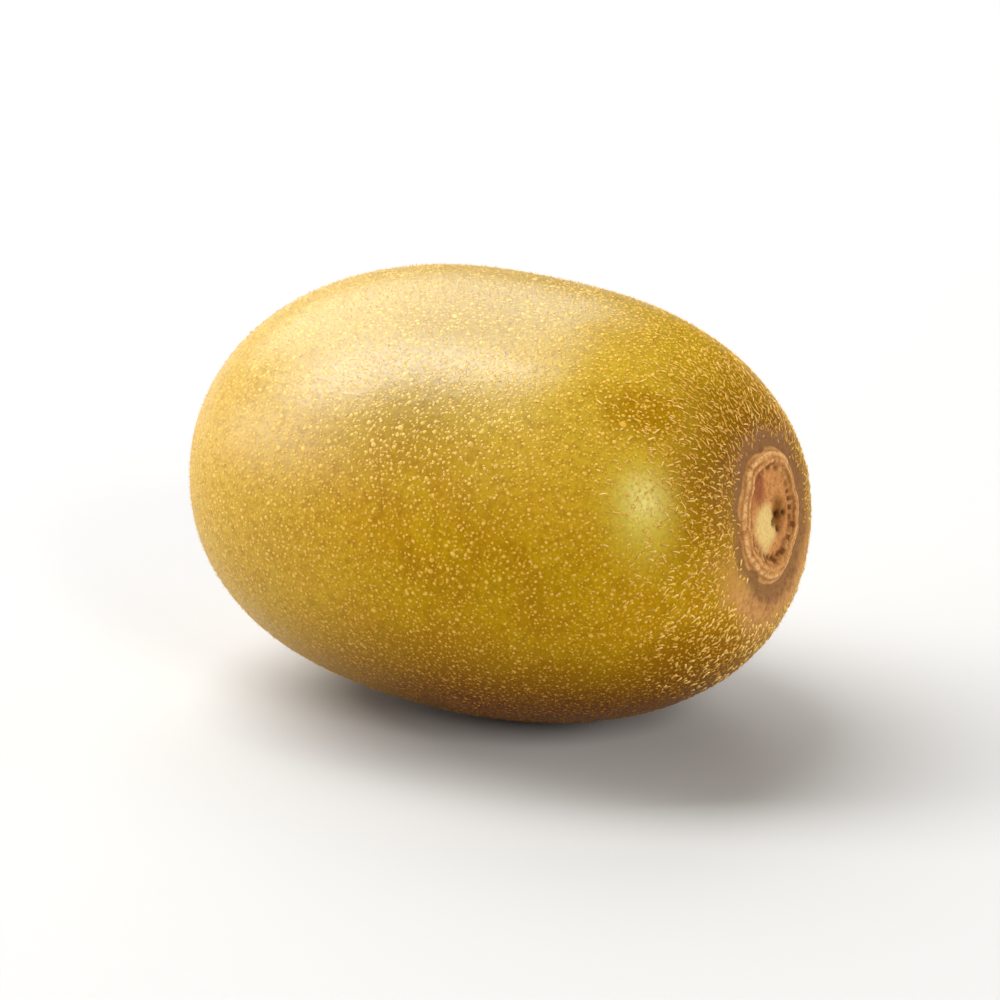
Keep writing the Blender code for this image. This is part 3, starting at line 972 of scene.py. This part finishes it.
def skin_colour(tree, specks, fine):
    """Golden brown with fine mottling and pale specks, and with the colours of its zones, some of them
    painted shade and painted highlight.
    """
    base = mixed(tree, blotches(tree, "olive"), GOLD, OLIVE_GOLD)
    base = mixed(tree, blotches(tree, "tan"), base, WARM_TAN)
    base = mixed(tree, blotches(tree, "yellow"), base, YELLOW_OLIVE)
    base = zoned(tree, base, SIDES)
    base = mixed(tree, blotches(tree, "mottle"), base, GRAIN_DARK)
    base = zoned(tree, base, PATCHES)
    base = mixed(tree, specks, base, PALE_DOT)
    base = zoned(tree, base, ENDS)
    cork = share_of(tree, "cork")
    dusty = calculated(tree, "ADD", share_of(tree, "dust"), share_of(tree, "tan_below"))
    outside = calculated(tree, "SUBTRACT", 1.0, cork)
    worn = calculated(tree, "MULTIPLY", blotches(tree, "worn"), outside)
    base = mixed(tree, calculated(tree, "MULTIPLY", worn, dusty), base, DUST_DARK)
    base = zoned(tree, base, CORK)
    base = zoned(tree, base, CORK_LAYERS, cork)
    flecked = calculated(tree, "MULTIPLY", blotches(tree, "flecks"), cork)
    base = mixed(tree, flecked, base, CORK_FLECK)
    base = zoned(tree, base, SCAR_MARKS)
    dark = ranged(tree, fine, 0.35, 0.7, 0.0, 0.22)
    return mixed(tree, dark, base, DEEP_BROWN, "MULTIPLY")


def skin_specks(tree, bare):
    """Small pale specks between the dots, fewer in the painted shade of the underside and on the flush,
    none on bare skin.
    """
    place = node(tree, "TexCoord").outputs["Object"]
    cells = node(tree, "TexVoronoi", {"Vector": place, "Scale": 1.0 / SPECK_SPACING}).outputs["Distance"]
    # fewer pale specks in the underside's painted shade
    speck_share = ranged(tree, share_of(tree, "underside_shade"), 0.0, 1.0, 0.8, 0.25)
    smooth = calculated(tree, "MULTIPLY", share_of(tree, "flush"), 0.8)
    rough_skin = calculated(tree, "SUBTRACT", calculated(tree, "SUBTRACT", 1.0, bare), smooth)
    speck_share = calculated(tree, "MULTIPLY", rough_skin, speck_share)
    return calculated(tree, "MULTIPLY", ranged(tree, cells, 0.36, 0.2), speck_share)


def skin_material():
    """The skin's colour, its waxy gloss, duller where it is bare, and its fine relief."""
    material, tree, shader = new_material("kiwi_skin_fine")
    bare = share_of(tree, "bare")
    fine = patterned(tree, FINE_GRAIN, 3.0, 0.6)
    specks = skin_specks(tree, bare)
    tree.links.new(skin_colour(tree, specks, fine), shader.inputs["Base Color"])

    rough = ranged(tree, fine, 0.3, 0.7, 0.29, 0.38)
    rough = calculated(tree, "ADD", rough, calculated(tree, "MULTIPLY", bare, 0.35))
    tree.links.new(rough, shader.inputs["Roughness"])

    sheen = calculated(tree, "MULTIPLY", share_of(tree, "green_patch_and_glint"), 0.55)
    waxy = calculated(tree, "ADD", share_of(tree, "waxy"), sheen)
    gloss = ranged(tree, waxy, 0.0, 1.0, 0.06, 0.78)
    tree.links.new(gloss, shader.inputs["Specular IOR Level"])

    relief = calculated(tree, "MULTIPLY", fine, 0.5)
    relief = calculated(tree, "ADD", relief, calculated(tree, "MULTIPLY", specks, 0.9))
    relief = calculated(tree, "ADD", relief, patterned(tree, COARSE_GRAIN, 2.0))
    raised = node(tree, "Bump", {"Height": relief, "Strength": 0.55, "Distance": BUMP_DEPTH})
    tree.links.new(raised.outputs["Normal"], shader.inputs["Normal"])
    set_values(
        shader,
        Subsurface_Weight=0.1,
        Subsurface_Radius=(1.0, 0.55, 0.12),
        Subsurface_Scale=SCATTER_DEPTH,
    )
    return material


def hair_material(name, pale, brown):
    """Pale dead hairs, each of its own shade between two colours."""
    material, tree, shader = new_material(name)
    base = mixed(tree, share_of(tree, "shade"), pale, brown)
    worn = ranged(tree, patterned(tree, 0.2 * MM, 2.0), 0.35, 0.7, 0.0, 0.3)
    base = mixed(tree, worn, base, brown)
    tree.links.new(base, shader.inputs["Base Color"])
    set_values(shader, Roughness=0.5, Specular_IOR_Level=0.3)
    return material


def dot_material():
    """Pale gold at a dot's top, fading to the skin's gold at its foot; browner near the stem and in the
    underside's painted shade, paler on the blossom half and, as painted highlight, in the glossy zone.
    """
    material, tree, shader = new_material("pale_dot")
    worn = ranged(tree, patterned(tree, 0.25 * MM, 2.0), 0.35, 0.7, 0.0, 0.35)
    worn = calculated(tree, "ADD", worn, calculated(tree, "MULTIPLY", share_of(tree, "shade"), 0.45))
    top = mixed(tree, worn, colour(236, 190, 82), colour(212, 160, 36))
    # browner near the stem and in the underside's painted shade
    top = mixed(tree, calculated(tree, "MULTIPLY", share_of(tree, "brown"), 0.8), top, colour(176, 108, 14))
    pale = share_of(tree, "pale")
    # paler on the blossom half, and where the lamps' highlight falls as a painted highlight
    top = mixed(tree, calculated(tree, "MULTIPLY", pale, 0.35), top, colour(236, 200, 112))
    # the foot is browner near the stem and in the underside's painted shade
    foot = mixed(tree, share_of(tree, "brown"), OLIVE_GOLD, BROWN_AND_SHADE)
    foot = mixed(tree, pale, foot, colour(212, 178, 84))
    base = mixed(tree, ranged(tree, share_of(tree, "rise"), 0.2, 0.95), foot, top)
    tree.links.new(base, shader.inputs["Base Color"])
    tree.links.new(ranged(tree, pale, 0.3, 1.0, 0.2, 0.55), shader.inputs["Specular IOR Level"])
    set_values(shader, Roughness=0.4)
    return material


def styles_material():
    """Dark brown, dry and brittle, paler at the tips."""
    material, tree, shader = new_material("dried_style")
    grain_share = ranged(tree, patterned(tree, 0.3 * MM, 4.0, 0.65), 0.35, 0.7)
    base = mixed(tree, grain_share, colour(52, 28, 14), colour(104, 60, 28))
    pale_tip = calculated(tree, "MULTIPLY", share_of(tree, "shade"), 0.4)
    base = mixed(tree, pale_tip, base, colour(140, 92, 48))
    tree.links.new(base, shader.inputs["Base Color"])
    raised = node(
        tree, "Bump", {"Height": patterned(tree, 0.12 * MM), "Strength": 0.6, "Distance": 0.05 * MM}
    )
    tree.links.new(raised.outputs["Normal"], shader.inputs["Normal"])
    set_values(shader, Roughness=0.8, Specular_IOR_Level=0.3)
    return material


def view_axes():
    """The picture's right, its up, and the way back to the camera, in the part's frame."""
    right = Vector((math.cos(AZIMUTH), math.sin(AZIMUTH), 0.0))
    back = Vector(
        (
            math.sin(AZIMUTH) * math.cos(ELEVATION),
            -math.cos(AZIMUTH) * math.cos(ELEVATION),
            math.sin(ELEVATION),
        )
    )
    return right, back.cross(right), back


def make_camera():
    """A long lens at the photograph's angle, with the fruit in the middle of the picture."""
    right, up, back = view_axes()
    low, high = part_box(NODE)
    centre = (low + high) / 2.0
    data = bpy.data.cameras.new("camera")
    made = bpy.data.objects.new("camera", data)
    bpy.context.scene.collection.objects.link(made)
    aim = centre + (right - up) * AIM_OFFSET
    made.location = aim + back * CAMERA_DISTANCE
    made.rotation_euler = (-back).to_track_quat("-Z", "Y").to_euler()
    data.sensor_width = SENSOR_WIDTH
    data.lens = SENSOR_WIDTH * FRUIT_SHARE * CAMERA_DISTANCE / SHOWN_WIDTH
    data.clip_start = 0.01
    data.clip_end = 100.0
    bpy.context.scene.camera = made


def softbox(name, toward, width, depth, power, tint):
    """A rectangular lamp in that direction from the fruit, facing it, with its width level."""
    data = bpy.data.lights.new(name, "AREA")
    data.shape = "RECTANGLE"
    data.size = width
    data.size_y = depth
    data.energy = power
    data.color = tint
    made = bpy.data.objects.new(name, data)
    bpy.context.scene.collection.objects.link(made)
    low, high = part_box(NODE)
    right, up, back = view_axes()
    out = (toward[0] * right + toward[1] * up + toward[2] * back).normalized()
    level = (right - out * right.dot(out)).normalized()
    made.location = (low + high) / 2.0 + out * LAMP_DISTANCE
    made.rotation_euler = Matrix((level, out.cross(level), out)).transposed().to_euler()


def make_floor():
    """A pale matt floor, just under the fruit."""
    half = FLOOR_HALF_WIDTH
    corners = [(x, y, -FLOOR_DROP) for x, y in ((-half, -half), (half, -half), (half, half), (-half, half))]
    mesh = bpy.data.meshes.new("floor")
    mesh.from_pydata(corners, [], [(0, 1, 2, 3)])
    floor = bpy.data.objects.new("floor", mesh)
    bpy.context.scene.collection.objects.link(floor)
    material, _, shader = new_material("floor_white")
    shade = (FLOOR_SHADE, FLOOR_SHADE, FLOOR_SHADE, 1.0)
    set_values(shader, Base_Color=shade, Roughness=0.9, Specular_IOR_Level=0.1)
    mesh.materials.append(material)


def make_studio():
    """The floor, a pale surround, and soft lamps above, behind, at both sides and in front."""
    make_floor()
    for lamp in LAMPS:
        softbox(*lamp)
    world = bpy.data.worlds.new("surround")
    world.use_nodes = True
    background = world.node_tree.nodes["Background"].inputs
    background["Color"].default_value = (1.0, 1.0, 1.0, 1.0)
    background["Strength"].default_value = SURROUND_STRENGTH
    bpy.context.scene.world = world
    bpy.context.scene.view_settings.view_transform = "Standard"


def dress():
    """Makes every piece of the fruit and gives each its material."""
    skin_piece().data.materials.append(skin_material())
    dots = dot_material()
    dots_piece("dots_stem_half", DOTS_START, DOTS_MIDDLE, seed=5).data.materials.append(dots)
    dots_piece("dots_blossom_half", DOTS_MIDDLE, DOTS_END, seed=8).data.materials.append(dots)
    bristle = hair_material("bristle", colour(250, 214, 128), colour(226, 172, 74))
    bristles_piece().data.materials.append(bristle)
    hair = hair_material("down_hair", colour(226, 180, 60), colour(200, 148, 20))
    down_piece().data.materials.append(hair)
    styles_piece().data.materials.append(styles_material())


make_camera()
make_studio()
dress()
